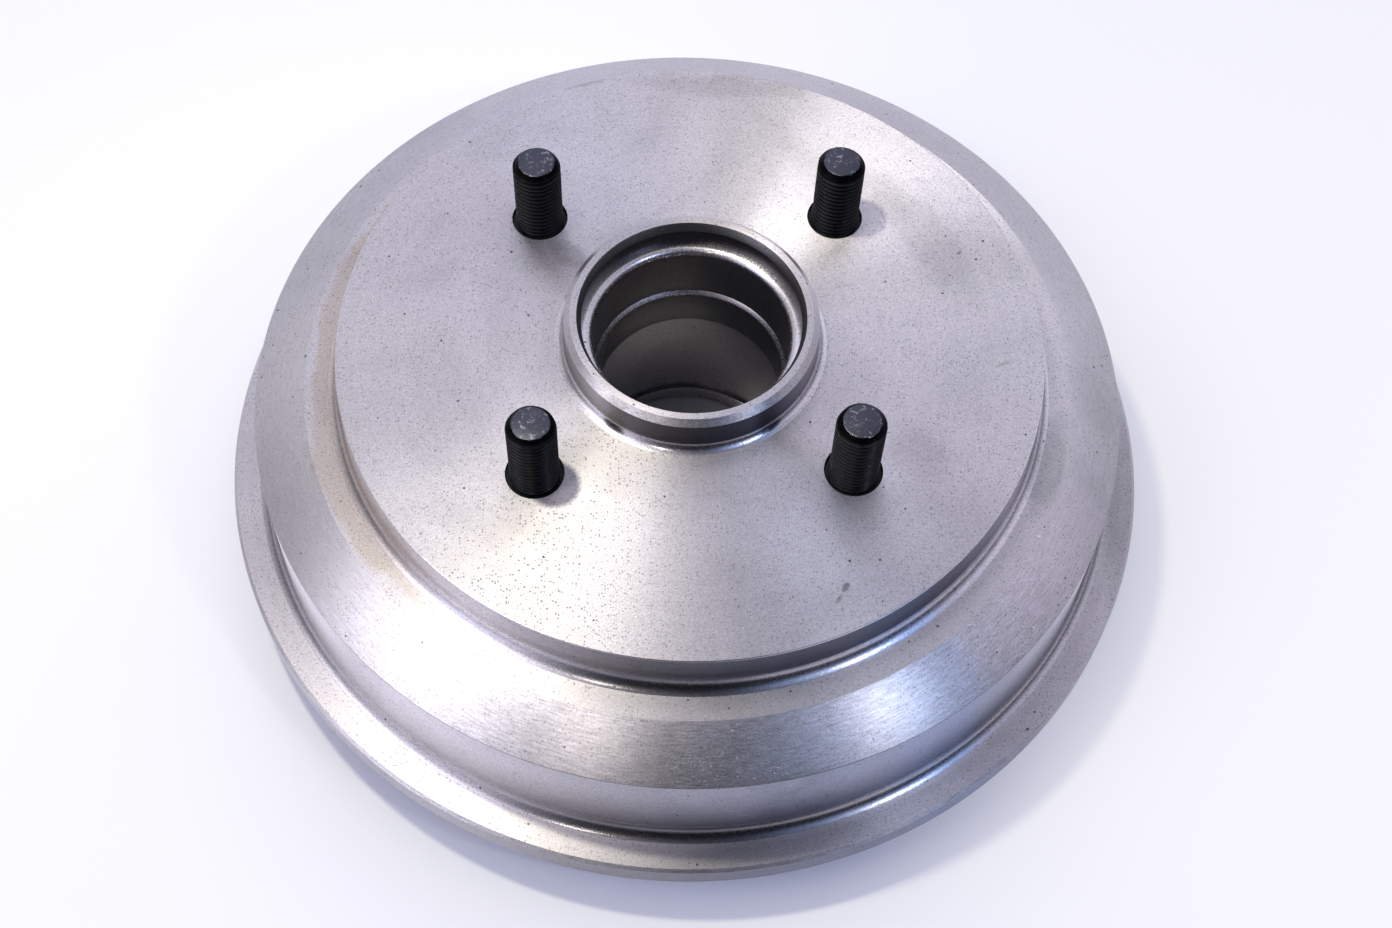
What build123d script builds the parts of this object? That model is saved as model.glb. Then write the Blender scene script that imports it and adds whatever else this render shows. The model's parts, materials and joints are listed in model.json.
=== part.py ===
from build123d import *
import os

# Rear brake drum with its hub cast in one piece, and four pressed-in wheel studs.
# Millimetres. +Z is the wheel side, and Z = 0 is the hub's inner end, which the drum stands on.

# --- hub bore, from the inner end up ---
lip_length = 5.4            # inner end up to the retaining-ring groove
ring_groove_width = 4.0
bearing_seat_length = 34.6
shoulder_length = 11.1      # land that stops the bearing's outer race
shoulder_chamfer = 0.9      # from the land out to the spindle nut's bore
nut_bore_length = 16.4      # room for the spindle nut
cap_seat_depth = 7.2        # floor of the grease cap's seat up to the collar's top

bearing_seat_radius = 26.5
lip_clearance = 0.2         # the lip lets the bearing past by this much
ring_groove_depth = 1.8
bearing_shoulder = 2.9      # the land stands in from the bearing seat by this much
cap_seat_step = 2.7         # the cap seat is this much wider than the nut bore
cap_lead_depth = 2.1        # tapered lead-in at the mouth of the cap seat
cap_lead_rise = 1.1
nut_bore_round = 2.0
hub_mouth_chamfer = 0.8

# --- wheel side ---
collar_height = 10.6        # wheel pilot collar above the mounting face
collar_wall = 4.3           # cap seat out to the pilot
collar_chamfer = 1.5
collar_fillet = 3.1
drum_depth = 55.8           # mounting face down to the open rim
face_edge_break = 0.3
step_depth = 12.4           # mounting face down to the step ring
step_fillet = 4.6
cone_drop = 7.3             # fall of the shoulder cone
flange_thickness = 7.6
flange_fillet = 4.5
flange_edge_break = 0.8

# --- drum, outwards and inwards from the braking surface ---
braking_radius = 101.6      # eight-inch braking surface
barrel_wall = 9.3
flange_width = 10.1         # the flange stands out from the barrel by this much
shoulder_run = 13.6         # barrel in to the step ring, across the cone
ring_width = 9.1            # step ring in to the edge of the mounting face
step_wall = 8.8             # behind the step
shoulder_wall = 8.0         # behind the step ring and the cone
shoulder_land = 4.0         # the flat behind the ring stops this far inside the ring's edge
web_thickness = 9.5         # behind the mounting face
web_corner_radius = 5.0
relief_depth = 1.6          # run-out groove at the closed end of the braking surface
relief_width = 2.5
mouth_chamfer = 1.5
dust_groove_wall = 7.2      # braking surface to the groove that the backing plate's lip runs in
dust_groove_width = 5.2
dust_groove_depth = 4.4

# --- hub sleeve on the shoe side ---
sleeve_wall = 8.0           # round the bearing, at the inner end
sleeve_taper = 2.5          # the sleeve is this much wider where it leaves the web
hub_root_fillet = 5.0
hub_end_chamfer = 1.0

# --- wheel studs ---
stud_count = 4
stud_thread_radius = 6.0
stud_reach = 22.45          # stud tip above the mounting face
stud_tip_run = 1.5          # cone at the tip of the thread
stud_tip_length = 1.6
stud_shank_step = 1.14      # the press shank is this much wider than the thread
stud_shank_recess = 1.1     # the shank ends this far below the mounting face
stud_shank_cone = 1.2       # cone from the shank up to the thread
stud_head_radius = 9.0
stud_head_thickness = 3.2
stud_head_chamfer = 0.6
stud_head_clearance = 3.0   # between the heads and the fillet at the hub's root

# --- levels that follow ---
groove_top = lip_length + ring_groove_width
seat_top = groove_top + bearing_seat_length
shoulder_top = seat_top + shoulder_length
nut_bore_foot = shoulder_top + shoulder_chamfer
cap_floor = nut_bore_foot + nut_bore_length
collar_top = cap_floor + cap_seat_depth
face_height = collar_top - collar_height
rim_level = face_height - drum_depth
flange_top = rim_level + flange_thickness
dust_groove_top = rim_level + dust_groove_depth
step_level = face_height - step_depth
cone_foot = step_level - cone_drop
web_inside = face_height - web_thickness
step_inside = step_level - shoulder_wall
stud_head_foot = web_inside - stud_head_thickness
stud_shank_top = face_height - stud_shank_recess
stud_tip = face_height + stud_reach

# --- radii that follow ---
lip_radius = bearing_seat_radius + lip_clearance
ring_groove_radius = bearing_seat_radius + ring_groove_depth
shoulder_radius = bearing_seat_radius - bearing_shoulder
nut_bore_radius = shoulder_radius + shoulder_chamfer
cap_seat_radius = nut_bore_radius + cap_seat_step
cap_mouth_radius = cap_seat_radius + cap_lead_rise
collar_radius = cap_seat_radius + collar_wall
hub_end_radius = bearing_seat_radius + sleeve_wall
hub_root_radius = hub_end_radius + sleeve_taper
barrel_radius = braking_radius + barrel_wall
flange_radius = barrel_radius + flange_width
ring_radius = barrel_radius - shoulder_run
face_radius = ring_radius - ring_width
step_inner_radius = face_radius - step_wall
land_radius = ring_radius - shoulder_land
relief_radius = braking_radius + relief_depth
dust_groove_inner = braking_radius + dust_groove_wall
dust_groove_outer = dust_groove_inner + dust_groove_width
stud_shank_radius = stud_thread_radius + stud_shank_step
stud_tip_radius = stud_thread_radius - stud_tip_run
stud_circle_radius = hub_root_radius + hub_root_fillet + stud_head_clearance + stud_head_radius

# the shoe side falls away behind the cone, parallel to it
relief_top = step_inside - (relief_radius - land_radius) * cone_drop / shoulder_run
braking_top = relief_top - relief_width


def corner(sketch, radius, height):
    """The corner of a half profile nearest to this radius and height."""
    return sketch.vertices().sort_by_distance((radius, height))[0]


# --- the casting: one turned profile, then its bore and stud holes ---
with BuildPart() as brake_drum:
    with BuildSketch(Plane.XZ) as casting:
        with BuildLine():
            Polyline(
                (0, 0),
                (hub_end_radius, 0),
                (hub_root_radius, web_inside),
                (step_inner_radius, web_inside),
                (step_inner_radius, step_inside),
                (land_radius, step_inside),
                (relief_radius, relief_top),
                (relief_radius, braking_top),
                (braking_radius, braking_top),
                (braking_radius, rim_level),
                (dust_groove_inner, rim_level),
                (dust_groove_inner, dust_groove_top),
                (dust_groove_outer, dust_groove_top),
                (dust_groove_outer, rim_level),
                (flange_radius, rim_level),
                (flange_radius, flange_top),
                (barrel_radius, flange_top),
                (barrel_radius, cone_foot),
                (ring_radius, step_level),
                (face_radius, step_level),
                (face_radius, face_height),
                (collar_radius, face_height),
                (collar_radius, collar_top),
                (0, collar_top),
                close=True,
            )
        make_face()
        fillet(corner(casting, hub_root_radius, web_inside), hub_root_fillet)
        fillet(corner(casting, step_inner_radius, web_inside), web_corner_radius)
        fillet(corner(casting, barrel_radius, flange_top), flange_fillet)
        fillet(corner(casting, face_radius, step_level), step_fillet)
        fillet(corner(casting, collar_radius, face_height), collar_fillet)
        chamfer(corner(casting, hub_end_radius, 0), hub_end_chamfer)
        chamfer(corner(casting, braking_radius, rim_level), mouth_chamfer)
        chamfer(corner(casting, flange_radius, rim_level), flange_edge_break)
        chamfer(corner(casting, flange_radius, flange_top), flange_edge_break)
        chamfer(corner(casting, face_radius, face_height), face_edge_break)
        chamfer(corner(casting, collar_radius, collar_top), collar_chamfer)
    revolve(axis=Axis.Z)

    # the stepped bore: bearing and its ring, shoulder, spindle nut, grease cap
    with BuildSketch(Plane.XZ) as bore:
        with BuildLine():
            Polyline(
                (0, 0),
                (lip_radius, 0),
                (lip_radius, lip_length),
                (ring_groove_radius, lip_length),
                (ring_groove_radius, groove_top),
                (bearing_seat_radius, groove_top),
                (bearing_seat_radius, seat_top),
                (shoulder_radius, seat_top),
                (shoulder_radius, shoulder_top),
                (nut_bore_radius, nut_bore_foot),
                (nut_bore_radius, cap_floor),
                (cap_seat_radius, cap_floor),
                (cap_seat_radius, collar_top - cap_lead_depth),
                (cap_mouth_radius, collar_top),
                (0, collar_top),
                close=True,
            )
        make_face()
        fillet(corner(bore, nut_bore_radius, cap_floor), nut_bore_round)
    revolve(axis=Axis.Z, mode=Mode.SUBTRACT)
    hub_end_edges = brake_drum.edges().filter_by(GeomType.CIRCLE).group_by(Axis.Z)[0]
    chamfer(hub_end_edges.sort_by(SortBy.RADIUS)[0], hub_mouth_chamfer)

    with BuildSketch(Plane.XY.offset(face_height)):
        with PolarLocations(stud_circle_radius, stud_count, start_angle=180 / stud_count):
            Circle(stud_shank_radius)
    extrude(amount=-web_thickness, mode=Mode.SUBTRACT)

# --- one wheel stud: head behind the web, press shank in its hole, thread outside ---
with BuildPart() as wheel_stud:
    with BuildSketch(Plane.XZ) as stud_profile:
        with BuildLine():
            Polyline(
                (0, stud_head_foot),
                (stud_head_radius, stud_head_foot),
                (stud_head_radius, web_inside),
                (stud_shank_radius, web_inside),
                (stud_shank_radius, stud_shank_top),
                (stud_thread_radius, stud_shank_top + stud_shank_cone),
                (stud_thread_radius, stud_tip - stud_tip_length),
                (stud_tip_radius, stud_tip),
                (0, stud_tip),
                close=True,
            )
        make_face()
        chamfer(corner(stud_profile, stud_head_radius, stud_head_foot), stud_head_chamfer)
    revolve(axis=Axis.Z)

os.makedirs("parts", exist_ok=True)

brake_drum.part.label = "brake_drum"
export_step(brake_drum.part, "parts/brake_drum.step")

stud_places = PolarLocations(stud_circle_radius, stud_count, start_angle=180 / stud_count)
for number, place in enumerate(stud_places, start=1):
    stud = wheel_stud.part.moved(Location(place.position))
    stud.label = f"wheel_stud_{number}"
    export_step(stud, f"parts/{stud.label}.step")
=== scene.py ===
import json
import math

import bmesh
import bpy
from mathutils import Matrix, Vector


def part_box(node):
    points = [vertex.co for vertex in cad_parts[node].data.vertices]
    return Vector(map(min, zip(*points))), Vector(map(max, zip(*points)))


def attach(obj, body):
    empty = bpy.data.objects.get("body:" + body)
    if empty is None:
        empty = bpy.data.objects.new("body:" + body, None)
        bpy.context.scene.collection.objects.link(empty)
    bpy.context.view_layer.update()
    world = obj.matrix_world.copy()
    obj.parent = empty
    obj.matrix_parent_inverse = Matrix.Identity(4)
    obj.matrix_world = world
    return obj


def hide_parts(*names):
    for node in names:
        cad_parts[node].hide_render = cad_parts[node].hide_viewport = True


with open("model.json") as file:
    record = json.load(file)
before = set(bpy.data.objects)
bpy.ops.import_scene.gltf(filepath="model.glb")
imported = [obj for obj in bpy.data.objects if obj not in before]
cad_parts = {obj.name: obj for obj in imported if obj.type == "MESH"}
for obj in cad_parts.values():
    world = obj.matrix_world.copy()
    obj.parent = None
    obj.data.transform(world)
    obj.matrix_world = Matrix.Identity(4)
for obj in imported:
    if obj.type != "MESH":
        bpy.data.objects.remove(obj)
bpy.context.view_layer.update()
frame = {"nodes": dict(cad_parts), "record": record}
mm = 0.001
mergeGap = 0.001              # millimetres between points that are one
print("frame loaded:", ", ".join(sorted(frame["nodes"])))


def newPiece(name, bm, material, smoothAngle=25):
    bmesh.ops.recalc_face_normals(bm, faces=bm.faces)
    if bm.calc_volume(signed=True) < 0:       # came out inside out
        bmesh.ops.reverse_faces(bm, faces=bm.faces)
    mesh = bpy.data.meshes.new(name)
    bm.to_mesh(mesh)
    bm.free()
    mesh.shade_smooth()
    mesh.set_sharp_from_angle(angle=math.radians(smoothAngle))
    mesh.materials.append(material)
    piece = bpy.data.objects.new(name, mesh)
    bpy.context.scene.collection.objects.link(piece)
    return piece


def turnOutline(corners, steps):
    # half outline in millimetres, as (radius, height), spun once round Z
    bm = bmesh.new()
    verts = [bm.verts.new((radius * mm, 0, height * mm)) for radius, height in corners]
    edges = [bm.edges.new(pair) for pair in zip(verts, verts[1:] + verts[:1])]
    bmesh.ops.spin(bm, geom=verts + edges, cent=(0, 0, 0), axis=(0, 0, 1), dvec=(0, 0, 0),
                   angle=math.tau, steps=steps, use_merge=True)
    bmesh.ops.remove_doubles(bm, verts=bm.verts, dist=mergeGap * mm)
    bmesh.ops.recalc_face_normals(bm, faces=bm.faces)
    return bm


def roundRing(bm, radius, height, size, segments, slack=0.004):
    # bevels the ring of edges at this radius and height
    def onRing(vert):
        return (abs(math.hypot(vert.co.x, vert.co.y) - radius * mm) < slack * mm
                and abs(vert.co.z - height * mm) < slack * mm)
    ring = [edge for edge in bm.edges if onRing(edge.verts[0]) and onRing(edge.verts[1])]
    bmesh.ops.bevel(bm, geom=ring, offset=size * mm, offset_type="OFFSET", segments=segments,
                    profile=0.5, affect="EDGES", material=-1, clamp_overlap=False)


def newMaterial(name):
    material = bpy.data.materials.new(name)
    material.use_nodes = True
    tree = material.node_tree
    tree.nodes.clear()
    output = tree.nodes.new("ShaderNodeOutputMaterial")
    shader = tree.nodes.new("ShaderNodeBsdfPrincipled")
    tree.links.new(shader.outputs["BSDF"], output.inputs["Surface"])
    return material, tree, shader


def plug(tree, value, socket):
    if isinstance(value, bpy.types.NodeSocket):
        tree.links.new(value, socket)
    else:
        socket.default_value = value


def math1(tree, operation, *values):
    node = tree.nodes.new("ShaderNodeMath")
    node.operation = operation
    for socket, value in zip(node.inputs, values):
        plug(tree, value, socket)
    return node.outputs[0]


def mixColour(tree, factor, first, second, blend="MIX"):
    node = tree.nodes.new("ShaderNodeMix")
    node.data_type = "RGBA"
    node.blend_type = blend
    plug(tree, factor, node.inputs["Factor"])
    plug(tree, first, node.inputs["A"])
    plug(tree, second, node.inputs["B"])
    return node.outputs["Result"]


def noise(tree, vector, scale, detail=2.0, roughness=0.5, distortion=0.0):
    node = tree.nodes.new("ShaderNodeTexNoise")
    node.inputs["Scale"].default_value = scale
    node.inputs["Detail"].default_value = detail
    node.inputs["Roughness"].default_value = roughness
    node.inputs["Distortion"].default_value = distortion
    plug(tree, vector, node.inputs["Vector"])
    return node.outputs["Fac"]


def rings(tree, along, scale, detail=2.0):
    # noise that changes only along the turned outline, as tool marks do
    node = tree.nodes.new("ShaderNodeTexNoise")
    node.noise_dimensions = "1D"
    node.inputs["Scale"].default_value = scale
    node.inputs["Detail"].default_value = detail
    plug(tree, along, node.inputs["W"])
    return node.outputs["Fac"]


def ramp(tree, value, low, high, toLow=0.0, toHigh=1.0, smooth=True):
    node = tree.nodes.new("ShaderNodeMapRange")
    node.interpolation_type = "SMOOTHSTEP" if smooth else "LINEAR"
    node.clamp = True
    plug(tree, value, node.inputs["Value"])
    node.inputs["From Min"].default_value = low
    node.inputs["From Max"].default_value = high
    node.inputs["To Min"].default_value = toLow
    node.inputs["To Max"].default_value = toHigh
    return node.outputs["Result"]


def turnedPlace(tree):
    # radius and height in millimetres, and the plain coordinates, read on the piece itself
    place = tree.nodes.new("ShaderNodeTexCoord").outputs["Object"]
    split = tree.nodes.new("ShaderNodeSeparateXYZ")
    tree.links.new(place, split.inputs[0])
    x, y, z = split.outputs
    radius = math1(tree, "SQRT", math1(tree, "ADD", math1(tree, "MULTIPLY", x, x),
                                       math1(tree, "MULTIPLY", y, y)))
    radius = math1(tree, "DIVIDE", radius, mm)
    height = math1(tree, "DIVIDE", z, mm)
    return place, x, y, radius, height


# machined iron, in millimetres unless the name says otherwise; a ramp's four numbers are where it
# starts and ends, and its values there
iron = {
    "colour": (0.565, 0.543, 0.590),
    "grainPerMetre": 2300,
    "grain": (0.28, 0.72, 0.78, 1.17),
    "feed": 0.45,                             # between tool marks
    "feedShare": 0.6,                         # of the contrast of the lines
    "feedPatchesPerMetre": 22,
    "feedPatches": (0.35, 0.62, 0.25, 1.0),   # worn away here and there
    "grooves": 2.6,                           # dashes to the millimetre across the tool's path
    "coneGrooves": 1.5,
    "coneBright": -1.5,                       # radians round the axis: the dashes show here
    "coneFade": (0.6, 1.1, 0.0, 0.6),         # and fade away from it
    "bandsPerMillimetre": 0.55,
    "bands": (0.3, 0.7, 0.98, 1.02),
    "patchesPerMetre": 30,
    "patches": (0.38, 0.72, 1.03, 0.88),
    "smearAndShadeDepth": 0.32,
    "finishEdge": 0.5,                        # half width of the change at the face's edge
    "edgeBand": (0.45, 0.15),                     # a thin darker band just below the edge of the cone
    "edgeBandShade": 0.45,
    "barrelPaintedShade": (27, 46, 0.83, 1.20),       # painted shade: darker towards the flange, lighter towards the cone
    "ringMarksPerMillimetre": 6.0,
    "ringMarksDepth": 2.2,                    # beside the feed's
    "markDepth": 0.02,
    "pitDepth": 0.05,
    "pitBump": 0.40,
    "smoothPitBump": 0.04,                    # on fillets and light breaks
    "grainBump": 0.6,
    "roughnessSpread": 0.03,
    "pitRoughness": 0.25,
    "pitColour": (0.07, 0.07, 0.08, 1),
}

# small dark specks, and a few open pores of the casting: cells to the metre, share left empty, size and
# strength
hollows = {
    "specks": (1500, 0.30, 0.40, 0.36),
    "pores": (420, 0.80, 0.16, 0.85),
}

# painted sheen and shade of the faces round the axis, where the highlights fall and where they miss: azimuth
# and half width in degrees, brightness
paintedSheen = {
    "nearLeft": ("facedIron", -125, 24, 0.64),
    "farRight": ("facedIron", 36, 14, 1.13),
    "behind": ("facedIron", 75, 15, 0.82),
    "front": ("facedIron", -62, 12, 0.90),
    "collarBehind": ("lipIron", 68, 24, 0.72),
    "collarLeft": ("lipIron", -130, 24, 0.88),
}

# painted shade on walls and fillets where they face the front, and painted highlight to the sides where the
# brightness passes 1:
# brightness where the shade is darkest and where it is lightest, and the middle of its sector, each a ramp
# over the radius, then the radians from that middle over which it lightens
paintedFrontShade = {
    "barrelIron": {"darkest": (40, 80, 0.68, 0.68), "lightest": (40, 80, 1.12, 1.12),
                   "middle": (40, 80, -1.42, -1.28), "reach": (0.35, 0.95)},
    "wallIron": {"darkest": (40, 80, 0.15, 0.31), "lightest": (40, 80, 0.52, 1.05),
                 "middle": (40, 80, -1.42, -1.28), "reach": (0.35, 0.95)},
    "filletIron": {"darkest": (40, 80, 0.95, 0.40), "lightest": (94, 105, 1.20, 0.92),
                   "middle": (40, 80, -1.66, -1.66), "reach": (0.08, 0.42)},
}

# painted reflection of the sky's blue on the metal: radians round the axis, how it fades with the distance
# from there, and its tints
skyWide = {
    "middle": -1.12,
    "fade": (0.15, 0.75, 1.0, 0.0),
    "tints": {"barrelIron": (0.86, 0.93, 1.10), "wallIron": (0.86, 0.93, 1.10)},
}

skyEdge = {
    "middle": -1.01,
    "fade": (0.05, 0.17, 1.0, 0.0),
    "tints": {"coneIron": (0.88, 0.96, 1.06), "filletIron": (0.86, 1.02, 1.24),
              "barrelIron": (0.93, 1.0, 1.12), "wallIron": (0.93, 1.0, 1.12)},
}

# drying oil left beside the step
oil = {
    "tint": (0.90, 0.84, 0.74),
    "strength": 0.90,
    "radius": 101.5,                          # how far out it reaches
    "edge": (-1.0, 1.0, 1.0, 0.0),
    "middle": 2.80,                           # radians from the right, on both sides
    "narrowing": 8.0,                         # millimetres to the radian away from there
    "ragged": 9.0,
    "raggedPerMetre": 60,
    "left": (-0.055, -0.075),                 # metres: it shows beyond here
}

# each way of turning: brightness of the metal, roughness, how much it is stretched, depth, contrast and
# length of its marks; the lead, nut and cap walls of the bore are darker copies of the iron, painted shade of
# the recess
cuts = {
    "facedIron": {"shade": 1.0, "roughness": 0.47, "stretch": 0.86, "marks": 0.25, "lines": 0.07,
                  "dash": 100},
    "coneIron": {"shade": 1.0, "roughness": 0.33, "stretch": 0.80, "marks": 0.30, "lines": 0.26,
                 "dash": 24},
    "filletIron": {"shade": 0.88, "roughness": 0.22, "stretch": 0.50, "marks": 0.04, "lines": 0.05,
                   "dash": 20},
    "barrelIron": {"shade": 1.0, "roughness": 0.38, "stretch": 0.80, "marks": 0.12, "lines": 0.04,
                   "dash": 60},
    "wallIron": {"shade": 1.0, "roughness": 0.34, "stretch": 0.80, "marks": 0.15, "lines": 0.08,
                 "dash": 40},
    "lipIron": {"shade": 0.88, "roughness": 0.50, "stretch": 0.80, "marks": 0.25, "lines": 0.12,
                "dash": 30},
    "leadShadedIron": {"shade": 0.30, "roughness": 0.34, "stretch": 0.60, "marks": 0.10, "lines": 0.08,
                 "dash": 60},
    "seatIron": {"shade": 0.92, "roughness": 0.38, "stretch": 0.30, "marks": 0.10, "lines": 0.06,
                 "dash": 60},
    "nutShadedIron": {"shade": 0.33, "roughness": 0.34, "stretch": 0.30, "marks": 0.10, "lines": 0.06,
                "dash": 60},
    "capShadedIron": {"shade": 0.15, "roughness": 0.30, "stretch": 0.30, "marks": 0.10, "lines": 0.06,
                "dash": 60},
    "edgeIron": {"shade": 0.95, "roughness": 0.27, "stretch": 0.10, "marks": 0.02, "lines": 0.03,
                 "dash": 60},
}

# radii and heights where the finish changes, how far past them it may start, and how steep each way of
# lying is, as the upright part of the polygon's normal
drumEdges = {
    "face": 88.2, "coneFoot": 49.3, "bore": 28.8, "seatTop": 44.0, "capFloor": 72.4, "capTop": 77.5,
    "barrel": 110.9, "ring": 97.3, "rimEdge": 118.0, "hubEnd": 0.2,
    "slack": 0.3, "barrelSlack": 0.2, "capSlack": 0.1,
    "level": 0.97, "nearlyLevel": 0.9, "upright": 0.35, "boreUpright": 0.2,
}

# handling marks, and a patch of painted shade on the flange's front and a painted reflection of a stud on the
# face,
# each an uneven patch: place and half sizes in millimetres, turn in degrees, strength
smearsAndShade = {
    "thumb": (43.0, 49.0, 20.0, 9.0, -25, 0.50),
    "wipe": (62.0, 30.0, 24.0, 8.0, -60, 0.40),
    "farRim": (14.0, 83.0, 34.0, 5.0, -4, 0.45),
    "farLeft": (-26.0, 84.5, 9.0, 1.6, 18, 0.7),
    "nearStud": (54.0, -34.0, 8.0, 12.0, 20, 0.35),
    "right": (104.0, -8.0, 7.0, 12.0, 10, 0.6),
    "ringRight": (89.0, -30.0, 5.0, 17.0, -20, 0.8),
    "flangeRight": (116.0, -18.0, 7.0, 42.0, -8, 0.8),
    # painted shade: the flange darker where it faces the front
    "flangeFrontShade": (22.0, -113.0, 24.0, 6.0, 11, 0.7),
    "rightFront": (99.0, -32.0, 5.0, 8.0, 30, 0.5),
    "backLeft": (-70.0, 83.0, 16.0, 4.0, 35, 0.6),
    "smudge": (34.4, -69.5, 1.6, 0.9, 55, 1.7),
    "smudgeTail": (32.6, -72.6, 1.8, 0.6, 50, 1.0),
    "nick": (69.6, 26.4, 0.9, 0.5, 30, 1.6),
    "scratch": (77.4, -7.9, 2.6, 0.7, 25, 0.8),
    # painted reflection: a stud's dark blurred reflection in the face
    "farStudReflection": (-30.5, 26.5, 8.5, 4.2, -38, 0.75),
    "lintA": (83.8, -49.8, 0.7, 0.22, -5, -2.2),
    "lintB": (81.1, -71.5, 0.6, 0.18, 0, -2.2),
}
smearAndShadeEdge = {"raggedPerMetre": 900, "leastWidth": 1.5, "ragged": 0.9, "fade": (0.9, 1.55)}


def smearAndShadeMask(tree, place, spot):
    x, y, long, wide, turn, strength = spot
    mapping = tree.nodes.new("ShaderNodeMapping")
    mapping.vector_type = "TEXTURE"
    mapping.inputs["Location"].default_value = (x * mm, y * mm, 0)
    mapping.inputs["Rotation"].default_value = (0, 0, math.radians(turn))
    mapping.inputs["Scale"].default_value = (long * mm, wide * mm, 1)
    tree.links.new(place, mapping.inputs["Vector"])
    length = tree.nodes.new("ShaderNodeVectorMath")
    length.operation = "LENGTH"
    tree.links.new(mapping.outputs[0], length.inputs[0])
    ragged = noise(tree, place, smearAndShadeEdge["raggedPerMetre"] / max(wide, smearAndShadeEdge["leastWidth"]), 3, 0.6)
    ragged = math1(tree, "MULTIPLY", ragged, smearAndShadeEdge["ragged"])
    edge = math1(tree, "ADD", length.outputs["Value"], ragged)
    return ramp(tree, edge, *smearAndShadeEdge["fade"], strength, 0.0)


def awayFrom(tree, angle, middle):
    # how far round the axis, in radians, either way
    return math1(tree, "ABSOLUTE", math1(tree, "SUBTRACT", angle, middle))


def toolMarks(tree, name, along, angle, feed, grain):
    # stretched dashes along the tool's path, the even feed and the grain
    contrast = cuts[name]["lines"]
    path = tree.nodes.new("ShaderNodeCombineXYZ")
    across = iron["coneGrooves"] if name == "coneIron" else iron["grooves"]
    plug(tree, math1(tree, "MULTIPLY", along, across), path.inputs[0])
    plug(tree, math1(tree, "MULTIPLY", angle, cuts[name]["dash"]), path.inputs[1])
    dashes = noise(tree, path.outputs[0], 1.0, 3, 0.65)
    dashes = ramp(tree, dashes, 0.28, 0.72, -contrast, contrast, smooth=False)
    lines = math1(tree, "MULTIPLY", feed, contrast * iron["feedShare"])
    lines = math1(tree, "ADD", lines, dashes)
    return math1(tree, "ADD", lines, ramp(tree, grain, *iron["grain"], smooth=False))


def frontShadeLevel(tree, name, radius, angle):
    # how much light the painted shade leaves, least towards the front
    shadeSpec = paintedFrontShade[name]
    middle = ramp(tree, radius, *shadeSpec["middle"])
    near, far = shadeSpec["reach"]
    shade = tree.nodes.new("ShaderNodeMapRange")
    shade.interpolation_type = "SMOOTHSTEP"
    for value, socket in ((awayFrom(tree, angle, middle), "Value"), (near, "From Min"), (far, "From Max"),
                          (ramp(tree, radius, *shadeSpec["darkest"]), "To Min"),
                          (ramp(tree, radius, *shadeSpec["lightest"]), "To Max")):
        plug(tree, value, shade.inputs[socket])
    return shade.outputs["Result"]


def oilStain(tree, place, x, radius, angle, outside):
    # a ragged band outside the step, widest at its middle angle
    side = awayFrom(tree, math1(tree, "ABSOLUTE", angle), oil["middle"])
    ragged = math1(tree, "MULTIPLY", noise(tree, place, oil["raggedPerMetre"], 3, 0.6), oil["ragged"])
    spread = math1(tree, "ADD", math1(tree, "MULTIPLY", side, oil["narrowing"]), ragged)
    reach = math1(tree, "SUBTRACT", radius, math1(tree, "SUBTRACT", oil["radius"], spread))
    stain = math1(tree, "MULTIPLY", ramp(tree, reach, *oil["edge"]), outside)
    stain = math1(tree, "MULTIPLY", stain, ramp(tree, x, *oil["left"]))
    return math1(tree, "MULTIPLY", stain, oil["strength"])


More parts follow.
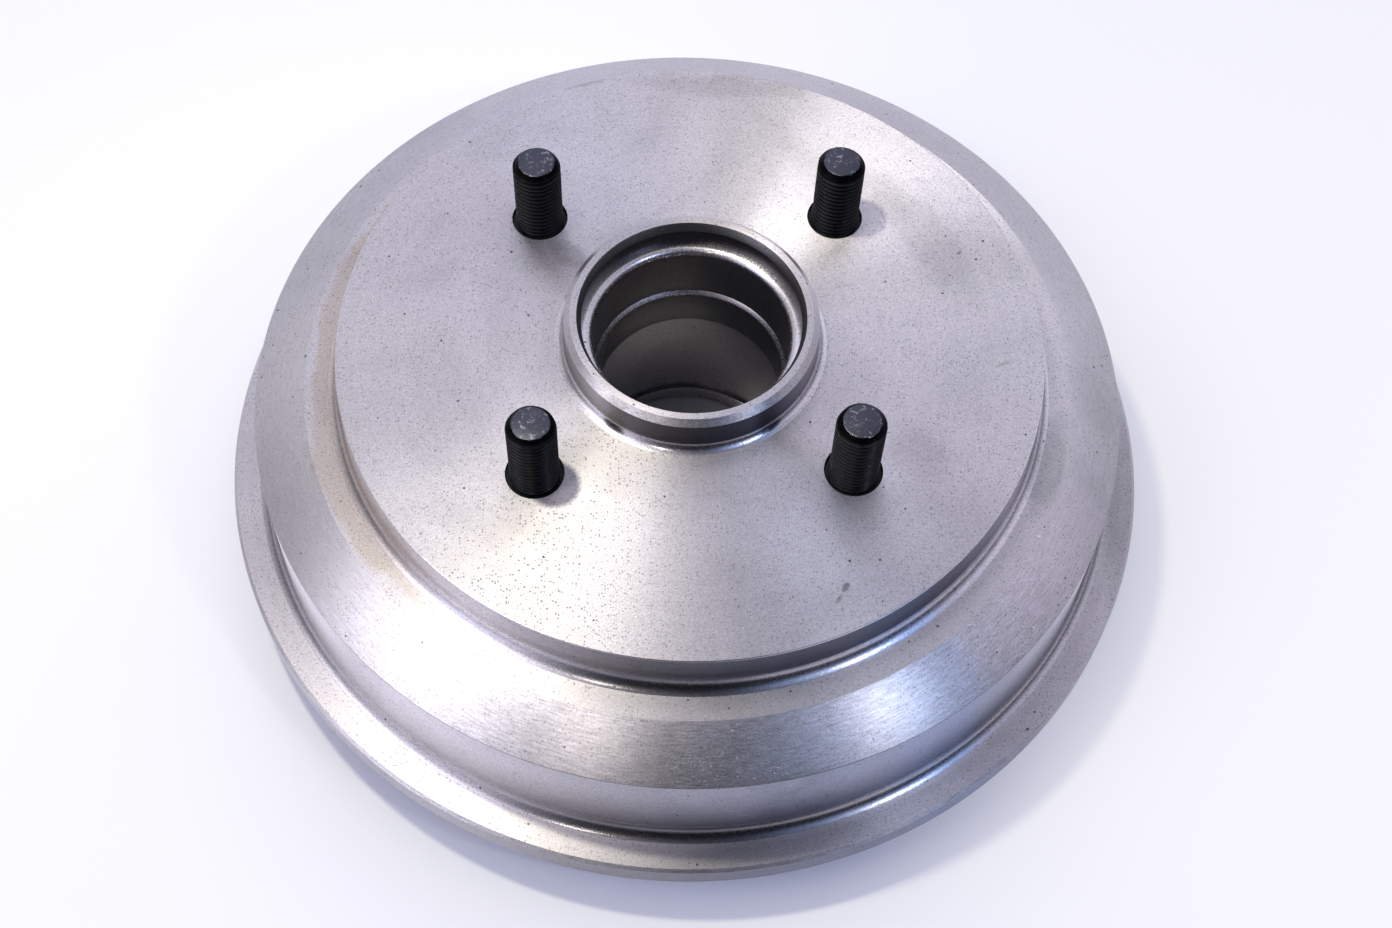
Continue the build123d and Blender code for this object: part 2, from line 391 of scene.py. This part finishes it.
def makeIron(name):
    cut = cuts[name]
    colour = [level * cut["shade"] for level in iron["colour"]]
    material, tree, shader = newMaterial(name)
    place, x, y, radius, height = turnedPlace(tree)
    along = math1(tree, "SUBTRACT", radius, height)
    angle = math1(tree, "ARCTAN2", y, x)
    faceEdge = drumEdges["face"]
    outside = ramp(tree, radius, faceEdge - iron["finishEdge"], faceEdge + iron["finishEdge"])

    grain = noise(tree, place, iron["grainPerMetre"], 2, 0.65)
    feed = math1(tree, "SINE", math1(tree, "MULTIPLY", along, math.tau / iron["feed"]))
    clear = ramp(tree, noise(tree, place, iron["feedPatchesPerMetre"], 2), *iron["feedPatches"])
    feed = math1(tree, "MULTIPLY", feed, clear)
    level = toolMarks(tree, name, along, angle, feed, grain)
    bands = rings(tree, along, iron["bandsPerMillimetre"], 3)
    level = math1(tree, "MULTIPLY", level, ramp(tree, bands, *iron["bands"]))
    patches = noise(tree, place, iron["patchesPerMetre"], 4, 0.6, 0.5)
    level = math1(tree, "MULTIPLY", level, ramp(tree, patches, *iron["patches"]))
    # handling marks, with patches of painted shade and painted reflection
    for spot in smearsAndShade.values():
        mask = math1(tree, "MULTIPLY", smearAndShadeMask(tree, place, spot), iron["smearAndShadeDepth"])
        level = math1(tree, "MULTIPLY", level, math1(tree, "SUBTRACT", 1.0, mask))
    # painted sheen and shade by azimuth, on the face inside its edge
    for finish, azimuth, width, gain in paintedSheen.values():
        if finish == name:
            turned = awayFrom(tree, angle, math.radians(azimuth))
            near = ramp(tree, turned, math.radians(width * 0.25), math.radians(width), gain, 1.0)
            level = math1(tree, "MULTIPLY", level, math1(tree, "MAXIMUM", near, outside))
    if name == "coneIron":    # its dashes show on one side only
        fade = ramp(tree, awayFrom(tree, angle, iron["coneBright"]), *iron["coneFade"])
        level = mixColour(tree, fade, level, (1, 1, 1, 1))
    # painted shade towards the front, painted highlight to the sides
    if name in paintedFrontShade:
        level = math1(tree, "MULTIPLY", level, frontShadeLevel(tree, name, radius, angle))
    if name == "barrelIron":
        # a thin darker band just below the cone's edge
        low, high = (drumEdges["coneFoot"] - drop for drop in iron["edgeBand"])
        level = math1(tree, "MULTIPLY", level, ramp(tree, height, low, high, 1.0, iron["edgeBandShade"]))
        # painted shade up the barrel
        level = math1(tree, "MULTIPLY", level, ramp(tree, height, *iron["barrelPaintedShade"]))
    base = mixColour(tree, 1.0, (*colour, 1), level, "MULTIPLY")
    # painted reflection of the blue sky, a tint round one azimuth
    for sky in (skyWide, skyEdge):
        if name in sky["tints"]:
            fade = ramp(tree, awayFrom(tree, angle, sky["middle"]), *sky["fade"])
            base = mixColour(tree, fade, base, (*sky["tints"][name], 1), "MULTIPLY")
    stain = oilStain(tree, place, x, radius, angle, outside)
    base = mixColour(tree, stain, base, (*oil["tint"], 1), "MULTIPLY")

    hollow = None             # specks and pores: one may be in each cell
    for scale, least, size, strength in hollows.values():
        cells = tree.nodes.new("ShaderNodeTexVoronoi")
        cells.inputs["Scale"].default_value = scale
        tree.links.new(place, cells.inputs["Vector"])
        chance = tree.nodes.new("ShaderNodeSeparateColor")
        tree.links.new(cells.outputs["Color"], chance.inputs[0])
        limit = ramp(tree, chance.outputs[0], least, 1.0, 0.0, size, smooth=False)
        inside = math1(tree, "MULTIPLY", math1(tree, "LESS_THAN", cells.outputs["Distance"], limit), strength)
        base = mixColour(tree, inside, base, iron["pitColour"])
        hollow = inside if hollow is None else math1(tree, "MAXIMUM", hollow, inside)

    ringMarks = math1(tree, "MULTIPLY", rings(tree, along, iron["ringMarksPerMillimetre"], 4),
                      iron["ringMarksDepth"])
    bump = tree.nodes.new("ShaderNodeBump")
    bump.inputs["Strength"].default_value = cut["marks"]
    bump.inputs["Distance"].default_value = iron["markDepth"] * mm
    tree.links.new(math1(tree, "ADD", feed, ringMarks), bump.inputs["Height"])
    pits = tree.nodes.new("ShaderNodeBump")
    smooth = name in ("filletIron", "edgeIron")
    pits.inputs["Strength"].default_value = iron["smoothPitBump" if smooth else "pitBump"]
    pits.inputs["Distance"].default_value = iron["pitDepth"] * mm
    relief = math1(tree, "SUBTRACT", math1(tree, "MULTIPLY", grain, iron["grainBump"]), hollow)
    tree.links.new(relief, pits.inputs["Height"])
    tree.links.new(bump.outputs["Normal"], pits.inputs["Normal"])

    tangent = tree.nodes.new("ShaderNodeTangent")
    tangent.direction_type = "RADIAL"
    tangent.axis = "Z"
    plug(tree, base, shader.inputs["Base Color"])
    shader.inputs["Metallic"].default_value = 1.0
    shader.inputs["Anisotropic"].default_value = cut["stretch"]
    shader.inputs["Anisotropic Rotation"].default_value = 0.25
    tree.links.new(tangent.outputs[0], shader.inputs["Tangent"])
    spread = iron["roughnessSpread"]
    rough = ramp(tree, grain, 0.3, 0.7, cut["roughness"] - spread, cut["roughness"] + spread)
    rough = math1(tree, "ADD", rough, math1(tree, "MULTIPLY", hollow, iron["pitRoughness"]))
    tree.links.new(rough, shader.inputs["Roughness"])
    tree.links.new(pits.outputs["Normal"], shader.inputs["Normal"])
    return material


irons = {name: makeIron(name) for name in cuts}


def ironAt(radius, height, slope):
    e = drumEdges
    # inside the bore the darker copies of the iron paint the shade of the recess
    if radius < e["bore"] and height > e["hubEnd"]:
        if slope > e["nearlyLevel"] and height > e["capTop"]:
            return "lipIron"
        if height > e["capTop"] - e["capSlack"]:
            return "leadShadedIron"
        if slope > e["boreUpright"]:
            return "edgeIron" if height > e["seatTop"] else "nutShadedIron"
        if height > e["capFloor"]:
            return "capShadedIron"
        return "nutShadedIron" if height > e["seatTop"] else "seatIron"
    if slope < e["upright"]:
        return "barrelIron" if radius > e["barrel"] - e["barrelSlack"] else "wallIron"
    if height > e["capTop"]:
        return "lipIron" if slope > e["nearlyLevel"] else "coneIron"
    if slope < e["level"]:
        onCone = e["ring"] - e["slack"] < radius < e["barrel"] + e["slack"]
        onCone = onCone and height > e["coneFoot"] - e["slack"]
        return "coneIron" if onCone or radius > e["rimEdge"] else "filletIron"
    return "facedIron"


def finishDrum(mesh):
    # faced, coned, rounded, walled or bored, by where each polygon is and how it lies
    slots = {"facedIron": 0}
    for name in cuts:
        if name != "facedIron":
            slots[name] = len(mesh.materials)
            mesh.materials.append(irons[name])
    for polygon in mesh.polygons:
        place = polygon.center
        finish = ironAt(math.hypot(place.x, place.y) / mm, place.z / mm, abs(polygon.normal.z))
        polygon.material_index = slots[finish]


# black steel of the studs: a ramp over the distance from the stud's axis tells crest from root; the crests
# are a little lighter, partly worn coating and partly painted highlight
steel = {
    "rootColour": (0.001, 0.001, 0.0015, 1),
    "crestColour": (0.008, 0.008, 0.011, 1),
    "rootShine": 0.03,
    "crestShine": 0.11,
    "crest": (5.35, 5.95),
    "place": 38.18,           # the studs' axes on X and Y, in millimetres
    "mottlePerMetre": 700,
    "worn": (0.3, 0.6, 0.4, 1.0),
    "roughness": (0.3, 0.7, 0.26, 0.38),
    "bump": 0.15,
    "bumpDepth": 0.01,
    "tipColour": (0.050, 0.053, 0.070, 1),
    "dentColour": (0.20, 0.20, 0.23, 1),
    "dentsPerMetre": 650,
    "dents": (0.56, 0.66),
    "tipBump": 0.5,
    "tipBumpDepth": 0.05,
}


def makeBlackSteel(name, tip):
    material, tree, shader = newMaterial(name)
    place, x, y = turnedPlace(tree)[:3]
    mottle = noise(tree, place, steel["mottlePerMetre"], 3, 0.6)
    if tip:
        dents = ramp(tree, noise(tree, place, steel["dentsPerMetre"], 4, 0.65, 1.2), *steel["dents"])
        base = mixColour(tree, dents, steel["tipColour"], steel["dentColour"])
        shader.inputs["Metallic"].default_value = 1.0
    else:
        offsets = [math1(tree, "SUBTRACT", math1(tree, "DIVIDE", math1(tree, "ABSOLUTE", value), mm),
                         steel["place"]) for value in (x, y)]
        out = math1(tree, "SQRT", math1(tree, "ADD", *[math1(tree, "MULTIPLY", o, o) for o in offsets]))
        # crests lighter: worn coating and painted highlight
        worn = ramp(tree, mottle, *steel["worn"])
        crest = math1(tree, "MULTIPLY", ramp(tree, out, *steel["crest"]), worn)
        base = mixColour(tree, crest, steel["rootColour"], steel["crestColour"])
        shine = ramp(tree, out, *steel["crest"], steel["rootShine"], steel["crestShine"])
        tree.links.new(shine, shader.inputs["Specular IOR Level"])
    plug(tree, base, shader.inputs["Base Color"])
    tree.links.new(ramp(tree, mottle, *steel["roughness"]), shader.inputs["Roughness"])
    bump = tree.nodes.new("ShaderNodeBump")
    bump.inputs["Strength"].default_value = steel["tipBump" if tip else "bump"]
    bump.inputs["Distance"].default_value = steel["tipBumpDepth" if tip else "bumpDepth"] * mm
    tree.links.new(mottle, bump.inputs["Height"])
    tree.links.new(bump.outputs["Normal"], shader.inputs["Normal"])
    return material


blackSteel = makeBlackSteel("blackSteel", tip=False)
tipSteel = makeBlackSteel("tipSteel", tip=True)
print("materials ready")


# brake drum: its sizes in millimetres
drum = {
    "steps": 360,
    "lipLength": 5.4,
    "ringGrooveWidth": 4.0,
    "bearingSeatLength": 34.6,
    "shoulderLength": 11.1,
    "shoulderChamfer": 0.9,
    "nutBoreLength": 16.4,
    "capSeatDepth": 7.2,
    "bearingSeatRadius": 26.5,
    "lipClearance": 0.2,
    "ringGrooveDepth": 1.8,
    "bearingShoulder": 2.9,
    "capSeatStep": 2.7,
    "capLeadDepth": 2.1,
    "capLeadRise": 1.1,
    "nutBoreRound": 2.0,
    "collarHeight": 10.6,
    "collarWall": 4.3,
    "collarChamfer": 1.5,
    "collarFillet": 3.1,
    "drumDepth": 55.8,
    "faceEdgeBreak": 0.3,
    "stepDepth": 12.4,
    "stepFillet": 4.6,
    "coneDrop": 7.3,
    "flangeThickness": 7.6,
    "flangeFillet": 4.5,
    "flangeEdgeBreak": 0.8,
    "brakingRadius": 101.6,
    "barrelWall": 9.3,
    "flangeWidth": 10.1,
    "shoulderRun": 13.6,
    "ringWidth": 9.1,
    "stepWall": 8.8,
    "shoulderWall": 8.0,
    "shoulderLand": 4.0,
    "webThickness": 9.5,
    "webCornerRadius": 5.0,
    "reliefDepth": 1.6,
    "reliefWidth": 2.5,
    "mouthChamfer": 1.5,
    "dustGrooveWall": 7.2,
    "dustGrooveWidth": 5.2,
    "dustGrooveDepth": 4.4,
    "sleeveWall": 8.0,
    "sleeveTaper": 2.5,
    "hubRootFillet": 5.0,
    "hubEndChamfer": 1.0,
    "hubMouthChamfer": 0.8,
    "edgeBreak": 0.12,        # light break on every other turned edge
    "cutMerge": 0.002,        # points this near each other round the holes are one
}

studHole = {"count": 4, "circle": 54.0, "radius": 7.14, "segments": 96}


def makeDrum():
    d = drum
    grooveTop = d["lipLength"] + d["ringGrooveWidth"]
    seatTop = grooveTop + d["bearingSeatLength"]
    shoulderTop = seatTop + d["shoulderLength"]
    nutFoot = shoulderTop + d["shoulderChamfer"]
    capFloor = nutFoot + d["nutBoreLength"]
    collarTop = capFloor + d["capSeatDepth"]
    face = collarTop - d["collarHeight"]
    rim = face - d["drumDepth"]
    flangeTop = rim + d["flangeThickness"]
    dustTop = rim + d["dustGrooveDepth"]
    step = face - d["stepDepth"]
    coneFoot = step - d["coneDrop"]
    webInside = face - d["webThickness"]
    stepInside = step - d["shoulderWall"]

    seatRadius = d["bearingSeatRadius"]
    lipRadius = seatRadius + d["lipClearance"]
    grooveRadius = seatRadius + d["ringGrooveDepth"]
    shoulderRadius = seatRadius - d["bearingShoulder"]
    nutRadius = shoulderRadius + d["shoulderChamfer"]
    capRadius = nutRadius + d["capSeatStep"]
    collarRadius = capRadius + d["collarWall"]
    hubRadius = seatRadius + d["sleeveWall"]
    hubRoot = hubRadius + d["sleeveTaper"]
    brakingRadius = d["brakingRadius"]
    barrelRadius = brakingRadius + d["barrelWall"]
    flangeRadius = barrelRadius + d["flangeWidth"]
    ringRadius = barrelRadius - d["shoulderRun"]
    faceRadius = ringRadius - d["ringWidth"]
    stepInner = faceRadius - d["stepWall"]
    landRadius = ringRadius - d["shoulderLand"]
    reliefRadius = brakingRadius + d["reliefDepth"]
    dustInner = brakingRadius + d["dustGrooveWall"]
    dustOuter = dustInner + d["dustGrooveWidth"]
    reliefTop = stepInside - (reliefRadius - landRadius) * d["coneDrop"] / d["shoulderRun"]
    brakingTop = reliefTop - d["reliefWidth"]

    # each corner of the half section: radius, height, size of its bevel, segments
    fine = d["edgeBreak"]
    corners = [
        (lipRadius, 0, d["hubMouthChamfer"], 1),
        (hubRadius, 0, d["hubEndChamfer"], 1),
        (hubRoot, webInside, d["hubRootFillet"], 8),
        (stepInner, webInside, d["webCornerRadius"], 8),
        (stepInner, stepInside, fine, 2),
        (landRadius, stepInside, 0, 0),
        (reliefRadius, reliefTop, 0, 0),
        (reliefRadius, brakingTop, 0, 0),
        (brakingRadius, brakingTop, fine, 2),
        (brakingRadius, rim, d["mouthChamfer"], 1),
        (dustInner, rim, fine, 2),
        (dustInner, dustTop, 0, 0),
        (dustOuter, dustTop, 0, 0),
        (dustOuter, rim, fine, 2),
        (flangeRadius, rim, d["flangeEdgeBreak"], 1),
        (flangeRadius, flangeTop, d["flangeEdgeBreak"], 1),
        (barrelRadius, flangeTop, d["flangeFillet"], 10),
        (barrelRadius, coneFoot, fine, 2),
        (ringRadius, step, fine, 2),
        (faceRadius, step, d["stepFillet"], 10),
        (faceRadius, face, d["faceEdgeBreak"], 2),
        (collarRadius, face, d["collarFillet"], 8),
        (collarRadius, collarTop, d["collarChamfer"], 1),
        (capRadius + d["capLeadRise"], collarTop, fine, 2),
        (capRadius, collarTop - d["capLeadDepth"], fine, 2),
        (capRadius, capFloor, 0, 0),
        (nutRadius, capFloor, d["nutBoreRound"], 6),
        (nutRadius, nutFoot, 0, 0),
        (shoulderRadius, shoulderTop, fine, 2),
        (shoulderRadius, seatTop, fine, 2),
        (seatRadius, seatTop, 0, 0),
        (seatRadius, grooveTop, fine, 2),
        (grooveRadius, grooveTop, 0, 0),
        (grooveRadius, d["lipLength"], 0, 0),
        (lipRadius, d["lipLength"], fine, 2),
    ]
    bm = turnOutline([corner[:2] for corner in corners], d["steps"])
    for radius, height, size, segments in corners:
        if size:
            roundRing(bm, radius, height, size, segments)
    blank = newPiece("drumBlank", bm, irons["facedIron"])

    # stud holes through the web
    holes = bmesh.new()
    for number in range(studHole["count"]):
        turn = math.tau * (number + 0.5) / studHole["count"]
        place = Matrix.Translation((studHole["circle"] * mm * math.cos(turn),
                                    studHole["circle"] * mm * math.sin(turn), (face + webInside) / 2 * mm))
        bmesh.ops.create_cone(holes, cap_ends=True, segments=studHole["segments"],
                              radius1=studHole["radius"] * mm, radius2=studHole["radius"] * mm,
                              depth=2 * d["webThickness"] * mm, matrix=place)
    cutter = newPiece("holeCutter", holes, irons["facedIron"])
    cut = blank.modifiers.new("studHoles", "BOOLEAN")
    cut.operation = "DIFFERENCE"
    cut.solver = "EXACT"
    cut.object = cutter
    bpy.context.view_layer.update()
    depsgraph = bpy.context.evaluated_depsgraph_get()
    cutMesh = bpy.data.meshes.new_from_object(blank.evaluated_get(depsgraph))
    bpy.data.objects.remove(blank)
    bpy.data.objects.remove(cutter)

    bm = bmesh.new()
    bm.from_mesh(cutMesh)
    bpy.data.meshes.remove(cutMesh)
    bmesh.ops.remove_doubles(bm, verts=bm.verts, dist=d["cutMerge"] * mm)
    piece = newPiece("drumCasting", bm, irons["facedIron"])
    finishDrum(piece.data)
    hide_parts("brake_drum")
    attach(piece, "root")
    print("brake drum:", len(piece.data.polygons), "faces")


makeDrum()


# wheel studs: millimetres, and shares of the thread's pitch
stud = {
    "threadRadius": 6.0,
    "pitch": 1.5,
    "threadDepth": 0.80,
    "crest": 0.16,            # share of the pitch that is flat on the crest
    "root": 0.20,             # share that is flat at the root
    "crestDrop": 0.97,        # height of the crest's corners beside its middle
    "mergeGap": 0.003,
    "turnSteps": 64,
    "shankStep": 1.14,
    "shankRecess": 1.1,
    "ledgeBreak": 0.25,       # small bevel round the shank's upper edge
    "tipRun": 1.5,
    "tipLength": 1.6,
    "tipEdge": 0.18,          # bevel round the end of the thread
    "headThickness": 3.2,
    "headChamfer": 0.6,
    "ledgeDip": 0.3,          # how far the ledge dips where it meets the thread
    "ledgeInner": (0.4, 0.1), # how far outside the thread's root it ends, above and below
    "startTurn": 1.3,         # radians from one stud's thread to the next
    "smoothAngle": 38,
    "tipLie": 0.75,           # how level a face of the tip is
    "tipSlack": 0.01,
}


def openEdges(bm, height):
    return [edge for edge in bm.edges
            if edge.is_boundary and all(abs(vert.co.z - height) < mergeGap * mm for vert in edge.verts)]


def makeStud(node, number):
    s = stud
    low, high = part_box(node)
    centre = (low + high) / 2
    face = frame["record"]["mounts"][0]["pos_m"][2] / mm
    foot = low.z / mm
    tip = high.z / mm
    headRadius = (high.x - low.x) / 2 / mm
    shankRadius = s["threadRadius"] + s["shankStep"]
    shankTop = face - s["shankRecess"]
    threadFoot = shankTop
    rootRadius = s["threadRadius"] - s["threadDepth"]

    # the thread: one pitch of its outline, turned upwards
    bm = bmesh.new()
    flank = (1 - s["crest"] - s["root"]) / 2
    marks = [0, s["root"] / 2, s["root"] / 2 + flank * 0.5, s["root"] / 2 + flank,
             s["root"] / 2 + flank + s["crest"] / 2, s["root"] / 2 + flank + s["crest"],
             s["root"] / 2 + flank * 1.5 + s["crest"], 1 - s["root"] / 2, 1]
    lifts = [0, 0, 0.5, s["crestDrop"], 1, s["crestDrop"], 0.5, 0, 0]
    verts = [bm.verts.new(((rootRadius + lift * s["threadDepth"]) * mm, 0,
                           (threadFoot - s["pitch"] + mark * s["pitch"]) * mm))
             for mark, lift in zip(marks, lifts)]
    edges = [bm.edges.new(pair) for pair in zip(verts, verts[1:])]
    turns = math.ceil((tip - threadFoot) / s["pitch"]) + 2
    bmesh.ops.spin(bm, geom=verts + edges, cent=(0, 0, 0), axis=(0, 0, 1),
                   dvec=(0, 0, s["pitch"] * mm / s["turnSteps"]), angle=math.tau * turns,
                   steps=s["turnSteps"] * turns)
    bmesh.ops.remove_doubles(bm, verts=bm.verts, dist=s["mergeGap"] * mm)
    for vert in bm.verts:     # the cone at the tip and the run-out at the foot limit the crests
        above = vert.co.z / mm - (tip - s["tipLength"])
        limit = s["threadRadius"] - max(above, 0) * s["tipRun"] / s["tipLength"]
        radius = math.hypot(vert.co.x, vert.co.y)
        if radius > limit * mm:
            vert.co.x *= limit * mm / radius
            vert.co.y *= limit * mm / radius
    for level, outer in ((tip, True), (threadFoot, False)):
        cut = bmesh.ops.bisect_plane(bm, geom=bm.verts[:] + bm.edges[:] + bm.faces[:],
                                     plane_co=(0, 0, level * mm), plane_no=(0, 0, 1),
                                     clear_outer=outer, clear_inner=not outer)
        rim = [item for item in cut["geom_cut"] if isinstance(item, bmesh.types.BMEdge)]
        if outer:
            bmesh.ops.edgeloop_fill(bm, edges=rim)
            bmesh.ops.bevel(bm, geom=rim, offset=s["tipEdge"] * mm, offset_type="OFFSET", segments=2,
                            profile=0.5, affect="EDGES", material=-1, clamp_overlap=False)

    # head and press shank, open at the top, joined to the thread's foot
    outline = [(0, foot), (headRadius - s["headChamfer"], foot), (headRadius, foot + s["headChamfer"]),
               (headRadius, foot + s["headThickness"]), (shankRadius, foot + s["headThickness"]),
               (shankRadius, shankTop - s["ledgeBreak"]), (shankRadius - s["ledgeBreak"], shankTop),
               (rootRadius + s["ledgeInner"][0], shankTop),
               (rootRadius + s["ledgeInner"][1], shankTop - s["ledgeDip"])]
    verts = [bm.verts.new((radius * mm, 0, height * mm)) for radius, height in outline]
    edges = [bm.edges.new(pair) for pair in zip(verts, verts[1:])]
    last = verts[-1]
    bmesh.ops.spin(bm, geom=verts + edges, cent=(0, 0, 0), axis=(0, 0, 1), dvec=(0, 0, 0),
                   angle=math.tau, steps=s["turnSteps"], use_merge=True)
    shankRim = openEdges(bm, last.co.z)
    threadRim = openEdges(bm, threadFoot * mm)
    bmesh.ops.bridge_loops(bm, edges=shankRim + threadRim)
    bmesh.ops.remove_doubles(bm, verts=bm.verts, dist=mergeGap * mm)
    bmesh.ops.rotate(bm, verts=bm.verts, cent=(0, 0, 0),
                     matrix=Matrix.Rotation(number * s["startTurn"], 3, "Z"))
    bmesh.ops.translate(bm, verts=bm.verts, vec=(centre.x, centre.y, 0))
    piece = newPiece("stud_%d" % number, bm, blackSteel, smoothAngle=s["smoothAngle"])
    piece.data.materials.append(tipSteel)
    tipFoot = tip - s["tipEdge"] - s["tipSlack"]
    for polygon in piece.data.polygons:
        if polygon.normal.z > s["tipLie"] and polygon.center.z / mm > tipFoot:
            polygon.material_index = 1
    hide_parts(node)
    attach(piece, "root")


for number in range(1, 5):
    makeStud("wheel_stud_%d" % number, number)
print("wheel studs ready")


# pale floor: radii in millimetres, angles in radians round the axis
ground = {
    "size": 6.0,
    "colour": (0.79, 0.79, 0.79, 1),
    "underShadowColour": (0.42, 0.42, 0.44, 1),     # painted shadow on the floor under the drum
    "shadowBelow": (30, 60),
    "lift": (0.0, 0.01, 0.09, 1),
    "lifted": (60, 118),
    # painted light on the right: a darker floor with more camera-only glow, so the shadow there shows lighter
    # while the open floor stays as bright
    "rightShadowLightColour": (0.50, 0.50, 0.46, 1),
    "rightShadowLightGlow": (0.36, 0.36, 0.45, 1),
    "right": -0.1,
    "rightShadowLightFade": (0.5, 1.25, 1.0, 0.0),
    "roughness": 0.9,
    "shine": 0.1,
}


def makeFloor():
    bm = bmesh.new()
    bmesh.ops.create_grid(bm, x_segments=2, y_segments=2, size=ground["size"] / 2)
    material, tree, shader = newMaterial("paleFloor")
    x, y, radius = turnedPlace(tree)[1:4]
    outside = ramp(tree, radius, *ground["lifted"])
    aside = awayFrom(tree, math1(tree, "ARCTAN2", y, x), ground["right"])
    # painted light: the floor's shadow on the right made lighter
    right = math1(tree, "MULTIPLY", ramp(tree, aside, *ground["rightShadowLightFade"]), outside)
    farther = mixColour(tree, right, ground["colour"], ground["rightShadowLightColour"])
    # painted shadow under the drum
    shadowBelow = ramp(tree, radius, *ground["shadowBelow"])
    plug(tree, mixColour(tree, shadowBelow, ground["underShadowColour"], farther), shader.inputs["Base Color"])
    shader.inputs["Roughness"].default_value = ground["roughness"]
    shader.inputs["Specular IOR Level"].default_value = ground["shine"]
    glow = tree.nodes.new("ShaderNodeEmission")
    plug(tree, mixColour(tree, right, ground["lift"], ground["rightShadowLightGlow"]), glow.inputs["Color"])
    path = tree.nodes.new("ShaderNodeLightPath")
    seen = math1(tree, "MAXIMUM", path.outputs["Is Camera Ray"], path.outputs["Is Glossy Ray"])
    tree.links.new(math1(tree, "MULTIPLY", seen, outside), glow.inputs["Strength"])
    both = tree.nodes.new("ShaderNodeAddShader")
    tree.links.new(shader.outputs[0], both.inputs[0])
    tree.links.new(glow.outputs[0], both.inputs[1])
    output = next(node for node in tree.nodes if node.type == "OUTPUT_MATERIAL")
    tree.links.new(both.outputs[0], output.inputs["Surface"])
    piece = newPiece("paleFloor", bm, material)


makeFloor()


# lamps: metres, and watts
aim = (0, 0, 0.05)
lamps = {
    "key": {"place": (-0.175, 0.055, 0.680), "size": 0.05, "power": 1.9, "colour": (1.0, 0.95, 0.74)},
    "window": {"place": (0.650, -0.578, 0.966), "size": 0.08, "power": 1.2, "colour": (0.93, 0.96, 1.0)},
    "bulb": {"place": (-0.32, -0.68, 1.07), "size": 0.10, "power": 0.75, "colour": (1.0, 0.93, 0.80)},
}


def makeLamps():
    for name, lamp in lamps.items():
        data = bpy.data.lights.new(name, "AREA")
        data.shape = "DISK"
        data.size = lamp["size"]
        data.energy = lamp["power"]
        data.color = lamp["colour"]
        light = bpy.data.objects.new(name, data)
        light.location = lamp["place"]
        beam = Vector(aim) - Vector(lamp["place"])
        light.rotation_euler = beam.to_track_quat("-Z", "Y").to_euler()
        bpy.context.scene.collection.objects.link(light)


# what stands round the table, as soft patches: azimuth and elevation in degrees, sharpness, level, colour
room = {
    "base": (0.02, 0.02, 0.025),
    "patches": {
        "leftLow": (213, 12, 14, 1.4, (0.95, 0.95, 1.1)),
        "leftMid": (199, 44, 30, 2.9, (1.0, 0.97, 0.98)),
        "leftHigh": (200, 60, 14, 1.3, (0.97, 0.95, 1.1)),
        "backHigh": (100, 60, 14, 1.02, (0.98, 0.96, 1.08)),
        "back": (90, 35, 14, 1.02, (0.92, 0.92, 1.12)),
        "backLow": (95, 8, 10, 0.55, (0.95, 0.95, 1.1)),
        "backRight": (45, 26, 14, 0.95, (0.95, 0.98, 1.08)),
        "rightHigh": (40, 58, 14, 0.40, (1.0, 0.97, 1.0)),
        "backLeft": (142, 24, 12, 0.85, (1.0, 1.0, 1.02)),
        "right": (0, 35, 14, 0.85, (0.98, 0.94, 1.12)),
        "sky": (-42, 48, 30, 1.5, (0.42, 0.60, 1.0)),
    },
}


def makeRoom():
    world = bpy.data.worlds.new("room")
    bpy.context.scene.world = world
    world.use_nodes = True
    tree = world.node_tree
    tree.nodes.clear()
    output = tree.nodes.new("ShaderNodeOutputWorld")
    background = tree.nodes.new("ShaderNodeBackground")
    direction = tree.nodes.new("ShaderNodeTexCoord").outputs["Generated"]
    total = (*room["base"], 1)
    for azimuth, elevation, sharpness, level, colour in room["patches"].values():
        across = math.cos(math.radians(elevation))
        nearness = tree.nodes.new("ShaderNodeVectorMath")
        nearness.operation = "DOT_PRODUCT"
        tree.links.new(direction, nearness.inputs[0])
        nearness.inputs[1].default_value = (across * math.cos(math.radians(azimuth)),
                                            across * math.sin(math.radians(azimuth)),
                                            math.sin(math.radians(elevation)))
        away = math1(tree, "SUBTRACT", nearness.outputs["Value"], 1.0)
        fall = math1(tree, "EXPONENT", math1(tree, "MULTIPLY", away, sharpness))
        total = mixColour(tree, fall, total, (*[level * part for part in colour], 1), "ADD")
    background.inputs["Strength"].default_value = 1.0
    tree.links.new(total, background.inputs["Color"])
    tree.links.new(background.outputs[0], output.inputs[0])


makeLamps()
makeRoom()


# camera: metres, and millimetres for its lens
view = {
    "place": (-0.015583, -0.275266, 0.474404),
    "forward": (0.033933, 0.507882, -0.860758),
    "up": (0.007594, 0.861099, 0.508382),
    "lens": 50.765,
    "sensor": 36.0,
    "nearest": 0.01,
}


def makeCamera():
    data = bpy.data.cameras.new("camera")
    data.lens = view["lens"]
    data.sensor_width = view["sensor"]
    data.clip_start = view["nearest"]
    camera = bpy.data.objects.new("camera", data)
    back = -Vector(view["forward"]).normalized()
    up = Vector(view["up"]).normalized()
    right = up.cross(back)
    camera.matrix_world = Matrix((
        (right.x, up.x, back.x, view["place"][0]),
        (right.y, up.y, back.y, view["place"][1]),
        (right.z, up.z, back.z, view["place"][2]),
        (0, 0, 0, 1)))
    bpy.context.scene.collection.objects.link(camera)
    bpy.context.scene.camera = camera


makeCamera()
bpy.context.scene.view_settings.view_transform = "Standard"
